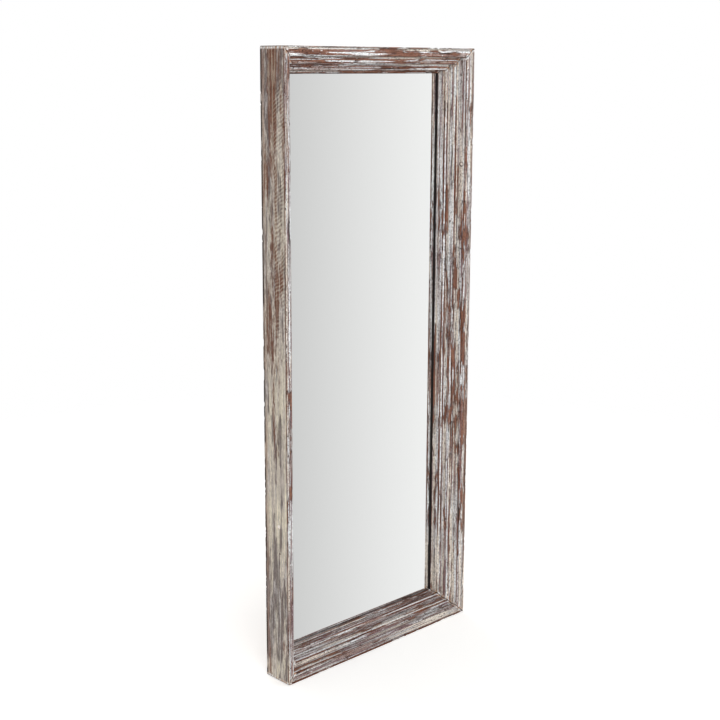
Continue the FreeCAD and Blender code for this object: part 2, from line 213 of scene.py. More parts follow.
# the outer sides, in metres and shares. Brown gathers along a belt. A patch has its layer, the zone's share
# that lifts it, by how much, and its most; lines have a colour and a most, saw cuts where they are full
flankLook = {
    "zoneReach": 0.9, "beltGirth": 0.052, "belt": (0.012, 0.044, 0.03, -0.05),
    "brownParts": {"soft": 0.60, "drag": 0.20, "mottle": 0.20}, "patchEdge": (0.59, 0.68),
    "patches": {"flankPurple": ("smear", "Green", 0.24, 0.80), "flankLilac": ("drag", "Green", 0.09, 0.62),
                "flankBrown": ("brown", "Blue", 0.24, 0.92)},
    "thinOnCream": (1.0, 0.30),
    "lines": {"white": ("flankCream", 0.35), "crack": ("woodDark", 0.60), "bare": ("wood", 0.22)},
    "cuts": {"flankCream": (-0.9, 0.30), "edgeBrown": (0.9, 0.34)}, "mottle": (1.14, 0.78),
}
# along the outer sides from one end to the other: cream, purple grey and brown share
flankZones = [(0.00, 0.30, 0.72, 0.45), (0.10, 0.20, 0.45, 0.46), (0.25, 0.60, 0.30, 0.32),
              (0.35, 0.30, 0.36, 0.52), (0.44, 0.35, 0.38, 0.42), (0.54, 0.85, 0.18, 0.10),
              (0.62, 0.80, 0.22, 0.24), (0.71, 1.00, 0.02, 0.00), (0.79, 0.70, 0.45, 0.18),
              (0.85, 0.40, 0.88, 0.25), (0.94, 0.35, 0.80, 0.28), (0.98, 0.90, 0.30, 0.10)]


def makeWhitewash(name, look):
    material, add = newMaterial(name)
    hue = {key: linear(value) for key, value in washColours.items()}
    read = {}
    for attribute in ("marks", "sides", "rims", "wear", "sawing", "grain"):
        vector = add("Attribute", attribute_name=attribute).outputs["Vector"]
        read[attribute] = vector
        read.update(zip(channels[attribute], add("SeparateXYZ", vector).outputs))

    # every layer is laid on coordinates that a small noise has pushed about, for ragged ends and edges
    ragPlace = add("VectorMath", read["grain"], (*perMetre(*washBuild["ragMm"]), 1), **times)
    ragged = add("TexNoise", {"Vector": ragPlace, "Scale": 1.0, "Detail": 2.0}).outputs["Color"]
    shift = (*(size * mm for size in washBuild["ragShiftMm"]), 0)
    pushed = add("VectorMath", ragged, shift, read["grain"], **timesPlus)
    layer = {}
    for number, (key, (alongMm, acrossMm, detail)) in enumerate(washLayers.items()):
        offset = (0, 0, washBuild["layerStep"] * number)
        stretched = add("VectorMath", pushed, (*perMetre(alongMm, acrossMm), 1), offset, **timesPlus)
        layer[key] = add("TexNoise", {
            "Vector": stretched, "Scale": 1.0, "Detail": detail, "Roughness": washBuild["layerRough"]})

    # flakes gather in clusters, fewer towards the ends; corners between the steps hold more paint
    gathered = add("Math", layer["cluster"], washBuild["clusters"], layer["flake"], **timesPlus)
    fromMiddle = add("Math", read["along"], **unsigned)
    handled = add("MapRange", fromMiddle, *washBuild["handled"], **eased)
    layer["flake"] = add("Math", gathered, handled, **plus)
    for key, gain in washBuild["quirkGain"].items():
        layer[key] = add("Math", read["quirk"], look["quirk"] * gain, layer[key], **timesPlus)

    # from a share of the surface to where its noise is cut
    bands = {key: (key, low, high, 1) for key, (low, high) in washRanges.items()}
    bands.update(washBands)
    for key, soft in washEdges.items():
        limit = 0.5 + washBuild["spread"] * NormalDist().inv_cdf(1 - look[key])
        bands[key] = (key, limit - soft, limit + soft, 1)
        if key == "flake":
            low, high, most = washBuild["flakeRim"]
            bands["flakeRim"] = (key, limit + low, limit + high, most)
    mask = {}
    for key, (source, low, high, most) in bands.items():
        value = layer[source] if source in layer else read[source]
        mask[key] = add("MapRange", value, low, high, 0, most, **eased)

    # bare wood: darker and lighter figure with fine fibre lines
    fibres = (mask["fibre"], washBuild["fibreLines"])
    wood = layCoats(add, hue["woodMid"], [(hue["woodLight"], mask["figure"]), (hue["woodDark"], *fibres)])
    hue["wood"] = wood

    # thin wash in the pores, then broken lines of paint, then what was rubbed or flaked off; each flake
    # gets a thin dark outline, painted shadow of the paint's edge; crests are rubbed through to dark wood,
    # with a thin ridge of paint below each
    washShare = add(
        "MapRange", mask["ground"], 0, 1, look["ground"] * washBuild["poreWash"], look["ground"])
    face = layCoats(add, wood, [
        (hue["lilac"], washShare), (hue["grey"], mask["grey"]), (hue["mauve"], mask["mauve"]),
        (wood, mask["bare"]), (hue["white"], mask["white"]), (hue["cream"], mask["cream"]),
        (hue["white"], mask["dash"]), (hue["woodDark"], mask["tick"]), (hue["woodDark"], mask["flakeRim"]),
        (wood, mask["flake"]), (hue["white"], mask["paintRidge"], mask["rubThrough"], look["crestBare"]),
        (hue["edgeBrown"], mask["bareCrest"], mask["rubThrough"], look["crestBare"])])

    # the outer sides: smooth greige wash that turns cream and purple grey, with long brown patches
    zonePlace = add("MapRange", read["along"], -flankLook["zoneReach"], flankLook["zoneReach"])
    zones = add("ValToRGB", zonePlace)
    ramp = zones.color_ramp
    while len(ramp.elements) < len(flankZones):
        ramp.elements.new(0.5)
    for stop, (position, cream, purple, brown) in zip(ramp.elements, flankZones):
        stop.position = position
        stop.color = (cream, purple, brown, 1)
    zone = add("SeparateColor", zones).outputs
    fromBelt = add("Math", read["girth"], flankLook["beltGirth"], **minus)
    beltReach = add("Math", fromBelt, **unsigned)
    layer["brown"] = add("MapRange", beltReach, *flankLook["belt"])
    for key, weight in flankLook["brownParts"].items():
        layer["brown"] = add("Math", layer[key], weight, layer["brown"], **timesPlus)
    sideCoats = [(hue["flankCream"], mask["ground"], zone["Red"])]
    for tone, (body, share, lift, most) in flankLook["patches"].items():
        lifted = add("Math", zone[share], lift, layer[body], **timesPlus)
        held = add("MapRange", lifted, *flankLook["patchEdge"], 0, most, **eased)
        sideCoats.append((hue[tone], held))
    thinPaint = add("MapRange", zone["Red"], 0, 1, *flankLook["thinOnCream"])
    for key, (tone, most) in flankLook["lines"].items():
        sideCoats.append((hue[tone], mask[key], thinPaint, most))
    phase = add("Math", read["acrossSaw"], 2 * math.pi / (sawMm * mm), **times)
    ripple = add("Math", phase, operation="SINE")
    for tone, (high, most) in flankLook["cuts"].items():
        crossed = add("MapRange", ripple, 0, high, 0, most)
        sideCoats.append((hue[tone], crossed, read["sawn"]))
    flank = layCoats(add, hue["greige"], sideCoats)
    mottled = add("MapRange", mask["mottle"], 0, 1, *flankLook["mottle"])
    flank = add("VectorMath", flank, mottled, **times)
    flank = layCoats(add, flank, [(hue["backTan"], mask["tanBand"], mask["ground"])])

    # the outer arris is rubbed to a brown line on the side, with cream paint or bare wood on the front of
    # the rim; the corners between the steps darken in patches, and dirt sits in the cracks and in the open
    # mitres
    onFace = add("Math", 1.0, read["flank"], **minus)
    darkMarked = mask["mitreLine"]
    for key, where in (("quirkLine", mask["lodged"]), ("crack", onFace), ("speck", onFace)):
        part = add("Math", mask[key], where, **times)
        darkMarked = add("Math", darkMarked, part, **larger)
    mitreTone = layCoats(add, hue["ochre"], [(hue["white"], mask["ground"])])
    rawTone = layCoats(add, hue["rawWood"], [(hue["woodMid"], *fibres)])
    soiledAndShaded = layCoats(add, face, [
        (flank, read["flank"]),
        (hue["rimCream"], mask["creamRim"], onFace, mask["rubThrough"], look["rim"]),
        (hue["edgeBrown"], mask["bareRim"], onFace, mask["rub"], look["rimBare"]),
        (hue["edgeBrown"], mask["brownArris"], read["flank"], mask["rub"]),
        (hue["dirt"], mask["backEdge"], read["flank"], mask["rub"]),
        (hue["woodDark"], read["chip"]), (mitreTone, mask["mitreMend"], mask["rub"]),
        # the wall beside the glass is painted near black: painted shade of the narrow gap at the glass,
        # over the lip's own dark bare edge
        (hue["dirt"], darkMarked, washBuild["dirt"]), (hue["soot"], read["lipWall"], look["soot"]),
        (rawTone, read["back"])])
    least, most = (look["shade"] * part for part in washBuild["gritShade"])
    gritty = add("MapRange", mask["grit"], 0, 1, least, most)
    creamSide = add("Math", zone["Red"], read["flank"], **times)
    calm = add("Math", creamSide, washBuild["calmCream"], **times)
    shade = add("Mix", {"Factor": calm, "A": gritty, "B": look["shade"]})
    toned = add("VectorMath", soiledAndShaded, shade, **times)

    # thick paint stands up and is smoother, fibres and cracks lie lower
    height = 0.0
    for key, weight in washBuild["relief"].items():
        height = add("Math", mask[key], weight, height, **timesPlus)
    rough = add("MapRange", mask["white"], 0, 1, *washBuild["rough"])
    bump = add("Bump", {
        "Height": height, "Strength": washBuild["bump"], "Distance": washBuild["reliefMm"] * mm})
    add("OutputMaterial", add("BsdfPrincipled", {
        "Base Color": toned, "Roughness": rough, "Normal": bump, "IOR": washBuild["ior"],
        "Specular IOR Level": washBuild["gloss"]}))
    return material


whitewash = {side: makeWhitewash("mangoWoodRubbedWhitewash" + side, look)
             for side, look in washLooks.items()}

# Pine, fine sawn and left raw: straw colour, tight darker growth lines, saw fuzz
pineLook = {"pale": "#cfae83", "dark": "#a67f52", "grainMm": (120, 2.2), "band": (0.36, 0.66),
            "fuzzMm": (1.2, 6.0), "reliefMm": 0.3, "roughness": 0.78}


def makePine():
    material, add = newMaterial("pineFineSawn")
    grain = add("Attribute", attribute_name="grain").outputs["Vector"]
    along, across = (add("VectorMath", grain, (*perMetre(*pineLook[key]), 1), **times)
                     for key in ("grainMm", "fuzzMm"))
    rings = add("TexNoise", {"Vector": along, "Scale": 1.0, "Detail": 4.0, "Distortion": 0.5})
    band = add("MapRange", rings, *pineLook["band"])
    colour = layCoats(add, linear(pineLook["pale"]), [(linear(pineLook["dark"]), band)])
    fuzz = add("TexNoise", {"Vector": across, "Scale": 1.0, "Detail": 2.0})
    bump = add("Bump", {"Height": fuzz, "Strength": 0.6, "Distance": pineLook["reliefMm"] * mm})
    add("OutputMaterial", add("BsdfPrincipled", {
        "Base Color": colour, "Roughness": pineLook["roughness"], "Normal": bump}))
    return material


pine = makePine()
print("wood finishes ready")

# Swept mouldings. Corners of each section in mm: u inwards from the outer edge, v back from the front,
# radius, point spacing on the run that follows, and whether that run is in view
mouldings = {
    "outerBoard": {
        "node": "outer_board_",
        "corners": [(0, 100, 1.0, 2.4, 1), (0, 0, 1.2, 0.9, 1), (3, 0, 0.5, 1.1, 1), (5, 5, 0.8, 1.3, 1),
                    (27, 5, 7, 1.6, 1), (27, 30, 0, 35, 0), (27, 100, 0.8, 4.5, 1)],
        "arrises": [(0.35, 0.35), (0, 100)], "crests": [(26.2, 9)], "ridges": [(27, 13.5)],
        "quirks": [(5, 5), (27, 30)]},
    "middleStep": {
        "node": "middle_step_",
        "corners": [(27, 100, 0, 35, 0), (27, 30, 0, 1.3, 1), (47.5, 30, 7, 1.6, 1), (47.5, 53, 0, 24, 0),
                    (47.5, 100, 0, 5, 1)],
        "arrises": [], "crests": [(43.6, 30.8)], "ridges": [(47, 34.5)], "quirks": [(27, 30), (47.5, 53)]},
    "innerStep": {
        "node": "inner_step_",
        "corners": [(47.5, 100, 0, 24, 0), (47.5, 53, 0, 1.3, 1), (65, 53, 8, 1.6, 1), (65, 80, 0, 10, 0),
                    (65, 100, 0, 5, 1)],
        "arrises": [], "crests": [(64.8, 60), (58, 53.1)], "ridges": [(62, 55.8)],
        "quirks": [(47.5, 53), (65, 80)]},
    "glassLip": {
        "node": "glass_lip_",
        "corners": [(65, 86, 0, 3, 0), (65, 80, 0, 1.1, 1), (74, 80, 1.5, 1.0, 1), (74, 86, 0, 4.5, 0)],
        "arrises": [], "crests": [], "ridges": [], "quirks": [(65, 80)]},
    "rearBatten": {
        "node": "rear_batten_",
        "corners": [(65, 100, 0.5, 3.5, 0), (65, 93, 0, 8, 0), (81, 93, 0, 2.3, 1), (81, 100, 0.7, 2.0, 1)],
        "arrises": [(81, 100)], "crests": [], "ridges": [], "quirks": []},
}
# over the section in mm: how far each mark reaches, how close points stand on an arc, and where the outer
# side, the back, the wall beside the glass and the painted rim lie
markReach = {"arrises": 8, "crests": 6, "ridges": 5, "quirks": 4.5}
sectionParts = {"arcStep": 1.3, "flankU": 0.6, "flankV": (0.8, 99.5), "backV": 99.6, "lipWallU": 73.2,
                "rimV": 6, "rimU": 8, "rimFade": 8}
# wear of each strip in mm; the sawn battens have less of some
woodWear = {"Ring Spacing": 3.0, "Mitre Gap": 0.2, "Mitre Round": 0.8, "Wave Depth": 0.35,
            "Ridge Depth": 0.25, "Chip Depth": 2.0, "Chatter Depth": 0.35}
battenWear = {**woodWear, "Ring Spacing": 12, "Mitre Round": 0.1, "Wave Depth": 0.105, "Chip Depth": 0.6}
# noises of that wear: along mm, across mm, detail, where it starts and where it is full
wearLayers = {"wave": (220, 35, 1, 0.3, 0.7), "ridge": (90, 4.2, 2, 0.3, 0.7),
              "chip": (14, 30, 2, 0.52, 0.62), "nick": (90, 50, 1, 0.45, 0.56),
              "chatterPatch": (70, 25, 3, 0.40, 0.60), "lean": (120, 30, 1, 0.0, 1.0)}
wearBuild = {"layerStep": 3.1, "seedFrom": 6.83, "seedStep": 11.7, "mitreReachMm": 3,
             "ridgeBetweenCuts": -0.7, "sawSlant": 0.6, "sawLeanMm": 14,
             "sawGirthMm": (46, 64), "sawEndsMm": ((-80, -160), (-860, -740))}
sides = {"Bottom": {"turn": 0, "length": 750, "reach": 900},
         "Left": {"turn": 90, "length": 1800, "reach": 375},
         "Top": {"turn": 180, "length": 750, "reach": 900},
         "Right": {"turn": 270, "length": 1800, "reach": 375}}
centre = {"y": -54, "z": 900}


# walks round the corners, with an arc at each that has a radius, and gives u, v and whether it is in view
def sectionPoints(corners):
    points = []
    for i, (u, v, radius, spacing, shown) in enumerate(corners):
        here = Vector((u, v))
        before = (here - Vector(corners[i - 1][:2])).normalized()
        after = Vector(corners[(i + 1) % len(corners)][:2]) - here
        onwards = after.normalized()
        if radius:
            bend = before.angle(onwards)
            cut = radius * math.tan(bend / 2)
            steps = max(3, round(radius * bend / sectionParts["arcStep"]))
            turnSign = 1 if before.x * onwards.y - before.y * onwards.x > 0 else -1
            side = Vector((-before.y, before.x)) * turnSign
            middle = here - before * cut + side * radius
            spoke = -side * radius
            for k in range(steps + 1):
                swing = bend * k / steps * turnSign
                turned = Vector((spoke.x * math.cos(swing) - spoke.y * math.sin(swing),
                                 spoke.x * math.sin(swing) + spoke.y * math.cos(swing)))
                points.append((*(middle + turned), shown))
            start = here + onwards * cut
        else:
            points.append((u, v, shown))
            start = here
        nextRadius = corners[(i + 1) % len(corners)][2]
        nextHere = here + after
        if nextRadius:
            nextAfter = (Vector(corners[(i + 2) % len(corners)][:2]) - nextHere).normalized()
            nextHere = nextHere - onwards * nextRadius * math.tan(onwards.angle(nextAfter) / 2)
        run = (nextHere - start).length
        count = max(1, round(run / spacing))
        for k in range(1, count):
            points.append((*(start + onwards * run * k / count), shown))
    return points


# the section as a closed line, with what the tree and the finish need to know at each point
def makeSection(name, row):
    points = sectionPoints(row["corners"])
    count = len(points)
    mesh = bpy.data.meshes.new(name)
    mesh.from_pydata([(u * mm, v * mm, 0) for u, v, shown in points],
                     [(i, (i + 1) % count) for i in range(count)], [])
    girth = 0
    outer = row["node"] == "outer_board_"
    part = sectionParts
    values = {"section": [], "skin": [], "marks": [], "sides": [], "rims": []}
    for i, (u, v, shown) in enumerate(points):
        before, after = points[i - 1], points[(i + 1) % count]
        tangent = Vector((after[0] - before[0], after[1] - before[1])).normalized()
        near = {key: max([0] + [1 - math.dist((u, v), spot) / reach for spot in row[key]])
                for key, reach in markReach.items()}
        crest = near["crests"] if near["crests"] > near["ridges"] else -near["ridges"]
        flank = outer and u < part["flankU"] and part["flankV"][0] < v < part["flankV"][1]
        lipWall = row["node"] == "glass_lip_" and u > part["lipWallU"]
        rim = 0
        if outer and v < part["rimV"] and not flank:
            rim = max(0, 1 - max(0, u - part["rimU"]) / part["rimFade"])
        values["section"] += [u * mm, v * mm, girth * mm]
        values["skin"] += [tangent.y, -tangent.x, shown]
        values["marks"] += [near["arrises"], crest, near["quirks"]]
        values["sides"] += [int(flank), int(v > part["backV"]), int(lipWall)]
        values["rims"] += [rim, 0, 0]
        girth += math.dist((u, v), after[:2])
    for key, numbers in values.items():
        mesh.attributes.new(key, "FLOAT_VECTOR", "POINT").data.foreach_set("vector", numbers)
    return mesh


def makeMouldingTree():
    inputs = {name: "Float" for name in ("Length", "Reach", "Turn", *woodWear, "Seed")}
    tree, add = newTree("sweptMoulding", {**inputs, "Centre": "Vector", "Finish": "Material"})
    given = add("NodeGroupInput").outputs
    profile = add("MeshToCurve", {"Mesh": given["Geometry"]})
    farEnd = add("CombineXYZ", {"X": given["Length"]})
    rail = add("CurvePrimitiveLine", {"End": farEnd})
    ringed = add("ResampleCurve", {"Curve": rail, "Length": given["Ring Spacing"]}, mode="LENGTH")
    walked = add("SplineParameter").outputs["Length"]
    marked = add("StoreNamedAttribute", {"Geometry": ringed, "Name": "along", "Value": walked})
    swept = add("CurveToMesh", {"Curve": marked, "Profile Curve": profile, "Fill Caps": True})
    read = {}
    for attribute in ("section", "skin", "marks", "sides"):
        vector = add("InputNamedAttribute", {"Name": attribute}, **vectors)
        read.update(zip(channels[attribute], add("SeparateXYZ", vector).outputs))
    along = add("InputNamedAttribute", {"Name": "along"})

    # share runs from -1 at one mitre to 1 at the other
    half = add("Math", given["Length"], 0.5, **times)
    fromMiddle = add("Math", along, half, **minus)
    share = add("Math", fromMiddle, half, operation="DIVIDE")
    innerHalf = add("Math", half, read["u"], **minus)
    place = add("Math", share, innerHalf, **times)
    shareSize = add("Math", share, **unsigned)
    toEnd = add("Math", 1.0, shareSize, **minus)
    mitre = add("Math", toEnd, innerHalf, **times)
    grain = add("CombineXYZ", {"X": place, "Y": read["girth"], "Z": given["Seed"]})

    # slow waves, fine ridges and broken arrises
    worn = {}
    for number, (key, (alongMm, acrossMm, detail, low, high)) in enumerate(wearLayers.items()):
        offset = (0, 0, wearBuild["layerStep"] * number)
        stretched = add("VectorMath", grain, (*perMetre(alongMm, acrossMm), 1), offset, **timesPlus)
        cloud = add("TexNoise", {"Vector": stretched, "Scale": 1.0, "Detail": detail})
        worn[key] = add("MapRange", cloud, low, high, **eased)
    chipNick = add("Math", worn["chip"], worn["nick"], **times)
    exposed = add("Math", read["arris"], read["crest"], **larger)
    chip = add("Math", chipNick, exposed, **times)

    # saw chatter crosses the outer side in slanting patches
    slant = add("Math", read["girth"], wearBuild["sawSlant"], place, **timesPlus)
    leaned = add("Math", worn["lean"], wearBuild["sawLeanMm"] * mm, slant, **timesPlus)
    phase = add("Math", leaned, 2 * math.pi / (sawMm * mm), **times)
    ripple = add("Math", phase, operation="SINE")
    rippleUp = add("MapRange", ripple, -1.0, 1.0, wearBuild["ridgeBetweenCuts"])
    sawn = add("Math", worn["chatterPatch"], read["flank"], **times)
    ends = [(place, limits) for limits in wearBuild["sawEndsMm"]]
    for where, (low, high) in ((read["girth"], wearBuild["sawGirthMm"]), *ends):
        within = add("MapRange", where, low * mm, high * mm, **eased)
        sawn = add("Math", sawn, within, **times)
    chatter = add("Math", rippleUp, sawn, **times)

    # each point in view sinks along its skin
    groove = add("MapRange", mitre, wearBuild["mitreReachMm"] * mm, 0.0, **eased)
    depth = 0.0
    for part, size in ((groove, "Mitre Round"), (worn["wave"], "Wave Depth"),
                       (worn["ridge"], "Ridge Depth"), (chip, "Chip Depth"), (chatter, "Chatter Depth")):
        depth = add("Math", part, given[size], depth, **timesPlus)
    inwards = add("Math", depth, read["shown"], **times)
    sunk = {}
    for axis, skin in (("u", "skinU"), ("v", "skinV")):
        step = add("Math", read[skin], inwards, **times)
        sunk[axis] = add("Math", read[axis], step, **minus)

    # the mitre rule: a strip gets shorter by as much as it goes inwards
    newHalf = add("Math", half, sunk["u"], **minus)
    openHalf = add("Math", newHalf, given["Mitre Gap"], **minus)
    newPlace = add("Math", share, openHalf, **times)
    newReach = add("Math", sunk["u"], given["Reach"], **minus)
    local = add("CombineXYZ", {"X": newPlace, "Y": sunk["v"], "Z": newReach})
    turned = add("VectorRotate", {"Vector": local, "Angle": given["Turn"]}, rotation_type="Y_AXIS")
    spot = add("VectorMath", turned, given["Centre"], **plus)
    wear = add("CombineXYZ", {"X": chip, "Y": mitre})
    sawing = add("CombineXYZ", {"X": sawn, "Y": leaned})
    shaped = swept
    for attribute, value in (("grain", grain), ("wear", wear), ("sawing", sawing)):
        shaped = add("StoreNamedAttribute", {
            "Geometry": shaped, "Name": attribute, "Value": value}, **vectors)
    shaped = add("SetPosition", {"Geometry": shaped, "Position": spot})
    for attribute in ("along", "section", "skin"):
        shaped = add("RemoveAttribute", {"Geometry": shaped, "Name": attribute})
    faceSize = add("InputMeshFaceNeighbors").outputs["Vertex Count"]
    sideFace = add("Compare", {"A": faceSize, "B": 4}, data_type="INT", operation="LESS_EQUAL")
    smooth = add("SetShadeSmooth", {"Geometry": shaped, "Shade Smooth": sideFace})
    endTree(add, given, add("FlipFaces", {"Mesh": smooth}))
    return tree


mouldingTree = makeMouldingTree()
seed = 0
for kind, row in mouldings.items():
    batten = kind == "rearBatten"
    for side, way in sides.items():
        seed += 1
        strip = bpy.data.objects.new(kind + side, makeSection(kind + side, row))
        growMesh(strip, mouldingTree, {
            **{name: size * mm for name, size in (battenWear if batten else woodWear).items()},
            "Length": way["length"] * mm, "Reach": way["reach"] * mm, "Turn": math.radians(way["turn"]),
            "Centre": (0, centre["y"] * mm, centre["z"] * mm),
            "Seed": wearBuild["seedFrom"] + wearBuild["seedStep"] * seed,
            "Finish": pine if batten else whitewash[side]})
        strip.visible_glossy = kind in ("innerStep", "glassLip")
        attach(strip, "frame")
        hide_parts(row["node"] + side.lower())
    print(kind, "swept")

# Finishes that are two tones of noise, with roughness and relief from a finer one.
# Sizes are mm along x, y and z of the object, or along and round a piece that follows its own grain
smallFinishes = {
    # low carbon steel, stamped and zinc plated: cool silver with dull cloudy crystals and handling scuffs
    "steelZincPlated": {"pale": "#b9bdc0", "dark": "#9ba0a4", "toneMm": (16, 16, 16), "cut": (0.30, 0.70),
                        "fineMm": (2.4, 6, 9), "metallic": 1.0, "rough": (0.36, 0.52), "reliefMm": 0.04},
    # steel wire, drawn bright: smooth and shiny, with faint draw lines along its length
    "steelWireDrawnBright": {"pale": "#d2d1cc", "dark": "#9d9b96", "toneMm": (9, 1.1, 9),
                             "cut": (0.35, 0.65), "fineMm": (14, 0.5, 14), "metallic": 1.0,
                             "rough": (0.16, 0.30), "reliefMm": 0.03, "followsGrain": True},
    # steel screws and pins, cold formed and tumbled: bright, with a fine satin from rubbing on each other
    "steelTumbledBright": {"pale": "#d0d0cd", "dark": "#a19f9a", "toneMm": (3.2, 3.2, 3.2),
                           "cut": (0.36, 0.66), "fineMm": (0.9, 0.9, 0.9), "metallic": 1.0,
                           "rough": (0.20, 0.34), "reliefMm": 0.02},
    # natural rubber, black, moulded: matt, a little grey bloom, fine pebbled skin
    "rubberMoulded": {"pale": "#37373a", "dark": "#1b1b1d", "toneMm": (5, 5, 5), "cut": (0.35, 0.70),
                      "fineMm": (0.8, 0.8, 0.8), "metallic": 0.0, "rough": (0.62, 0.82), "reliefMm": 0.08},
    # iron nail, head left bare: rusted dark brown with orange bloom
    "ironNailRusted": {"pale": "#5a3826", "dark": "#241815", "toneMm": (1.6, 1.6, 1.6), "cut": (0.40, 0.60),
                       "fineMm": (0.6, 0.6, 0.6), "metallic": 0.0, "rough": (0.70, 0.90), "reliefMm": 0.15},
    # chalk putty pressed into a nail hole: pale, pinkish at the rim, chalky
    "chalkPuttyPressed": {"pale": "#f7eee6", "dark": "#d8bfae", "toneMm": (2.6, 2.6, 2.6),
                          "cut": (0.48, 0.66), "fineMm": (0.8, 0.8, 0.8), "metallic": 0.0,
                          "rough": (0.75, 0.90), "reliefMm": 0.12},
}
# the least and the most that the two noises come to together
bothNoises = (0.3, 1.5)


def makeSmallFinish(name, look):
    material, add = newMaterial(name)
    if look.get("followsGrain"):
        place = add("Attribute", attribute_name="grain").outputs["Vector"]
    else:
        place = add("TexCoord").outputs["Object"]
    noise = {}
    for key in ("toneMm", "fineMm"):
        stretched = add("VectorMath", place, perMetre(*look[key]), **times)
        noise[key] = add("TexNoise", {"Vector": stretched, "Scale": 1.0, "Detail": 3.0})
    share = add("MapRange", noise["toneMm"], *look["cut"], **eased)
    colour = layCoats(add, linear(look["pale"]), [(linear(look["dark"]), share)])
    both = add("Math", noise["fineMm"], share, **plus)
    rough = add("MapRange", both, *bothNoises, *look["rough"])
    bump = add("Bump", {"Height": noise["fineMm"], "Strength": 0.7, "Distance": look["reliefMm"] * mm})
    add("OutputMaterial", add("BsdfPrincipled", {
        "Base Color": colour, "Metallic": look["metallic"], "Roughness": rough, "Normal": bump}))
    return material


finish = {name: makeSmallFinish(name, look) for name, look in smallFinishes.items()}

# Hardboard, hot pressed on a wire screen: brown fibres, darker flecks and a waffle of small dents.
# The real screen is about 2 mm; it is drawn at 7 mm so that it shows
hardboardLook = {
    "pale": "#8d6a49", "dark": "#5f422c", "cloudMm": 90, "fleckMm": (9, 3, 2.4), "screenMm": 7.0,
    "dentMm": 0.35, "cloudShare": 0.3, "darkShare": (0.35, 1.0), "wire": (0.06, 0.28),
    "dentShade": (0.80, 1.04), "fleckRelief": 0.4, "rough": (0.68, 0.84)}


def makeHardboard():
    look = hardboardLook
    material, add = newMaterial("hardboardScreenPressed")
    place = add("TexCoord").outputs["Object"]
    clouds = add("TexNoise", {"Vector": place, "Scale": perMetre(look["cloudMm"])[0], "Detail": 4.0})
    fleckPlace = add("VectorMath", place, perMetre(*look["fleckMm"]), **times)
    flecks = add("TexNoise", {"Vector": fleckPlace, "Scale": 1.0, "Detail": 3.0, "Distortion": 0.8})
    mixed = add("Math", clouds, look["cloudShare"], flecks, **timesPlus)
    share = add("MapRange", mixed, *look["darkShare"], **eased)
    axes = add("SeparateXYZ", place).outputs
    ridges = []
    for axis in ("X", "Z"):
        counted = add("Math", axes[axis], perMetre(look["screenMm"])[0], **times)
        ridges.append(add("Math", counted, 0.5, operation="PINGPONG"))
    lattice = add("Math", ridges[0], ridges[1], operation="MINIMUM")
    dent = add("MapRange", lattice, *look["wire"], **eased)
    colour = layCoats(add, linear(look["pale"]), [(linear(look["dark"]), share)])
    shaded = add("MapRange", dent, 0, 1, *look["dentShade"])
    pressed = add("VectorMath", colour, shaded, **times)
    rough = add("MapRange", share, 0, 1, *look["rough"])
    height = add("Math", flecks, look["fleckRelief"], dent, **timesPlus)
    bump = add("Bump", {"Height": height, "Strength": 0.8, "Distance": look["dentMm"] * mm})
    add("OutputMaterial", add("BsdfPrincipled", {
        "Base Color": pressed, "Roughness": rough, "Normal": bump}))
    return material


# Float glass, silvered and painted behind: near white mirror with a trace of green and faint wipe marks
glassLook = {"silver": "#f7f8f7", "wipeMm": (160, 160, 60),
             "rough": (0.3, 0.7, 0.012, 0.03)}


def makeMirror():
    material, add = newMaterial("floatGlassSilvered")
    place = add("TexCoord").outputs["Object"]
    stretched = add("VectorMath", place, perMetre(*glassLook["wipeMm"]), **times)
    wipes = add("TexNoise", {"Vector": stretched, "Scale": 1.0, "Detail": 2.0})
    rough = add("MapRange", wipes, *glassLook["rough"])
    add("OutputMaterial", add("BsdfPrincipled", {
        "Base Color": linear(glassLook["silver"]), "Metallic": 1.0, "Roughness": rough}))
    return material


# CAD pieces whose shape is right keep it and take their finish here
carriedOver = {
    "mirror_glass": makeMirror(), "back_panel": makeHardboard(), "setting_blocks": finish["rubberMoulded"],
    "hanger_strap_left": finish["steelZincPlated"], "hanger_strap_right": finish["steelZincPlated"],
}
for corner in ("bottom_left", "top_left", "top_right", "bottom_right"):
    carriedOver["corner_brace_" + corner] = finish["steelZincPlated"]
    carriedOver["bumper_" + corner] = finish["rubberMoulded"]
for name, material in carriedOver.items():
    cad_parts[name].data.materials.clear()
    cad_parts[name].data.materials.append(material)
print("glass, panel and hardware finished")

sharpFrom = math.radians(40)    # edges of a fastener that bend by more stay sharp


# points with the way each fastener is driven, out of the surface
def makeSpots(name, spots):
    mesh = bpy.data.meshes.new(name)
    mesh.from_pydata([tuple(c * mm for c in place) for place, drive in spots], [], [])
    flat = [c for place, drive in spots for c in drive]
    mesh.attributes.new("drive", "FLOAT_VECTOR", "POINT").data.foreach_set("vector", flat)
    return bpy.data.objects.new(name, mesh)


# sets a shape drawn in mm on every spot, turned to its drive and spun by chance, and finishes the tree
def scatter(add, given, shape, tilt=0.0):
    angle = add("InputMeshEdgeAngle").outputs["Unsigned Angle"]
    sharp = add("Compare", {"A": angle, "B": sharpFrom}, operation="GREATER_THAN")
    smooth = add("SetShadeSmooth", {"Geometry": shape, "Shade Smooth": True})
    edged = add("SetShadeSmooth", {
        "Geometry": smooth, "Selection": sharp, "Shade Smooth": False}, domain="EDGE")
    spots = add("MeshToPoints", {"Mesh": given["Geometry"]})
    drive = add("InputNamedAttribute", {"Name": "drive"}, **vectors)
    aligned = add("AlignRotationToVector", {"Vector": drive}, axis="Z")
    low = (-tilt, -tilt, 0.0)
    high = (tilt, tilt, 2 * math.pi)
    spin = add("RandomValue", {"Min": low, "Max": high, "Seed": given["Seed"]}, **vectors)
    turned = add("RotateRotation", {"Rotation": aligned, "Rotate By": spin}, rotation_space="LOCAL")
    placed = add("InstanceOnPoints", {
        "Points": spots, "Instance": edged, "Rotation": turned, "Scale": (mm, mm, mm)})
    endTree(add, given, placed)


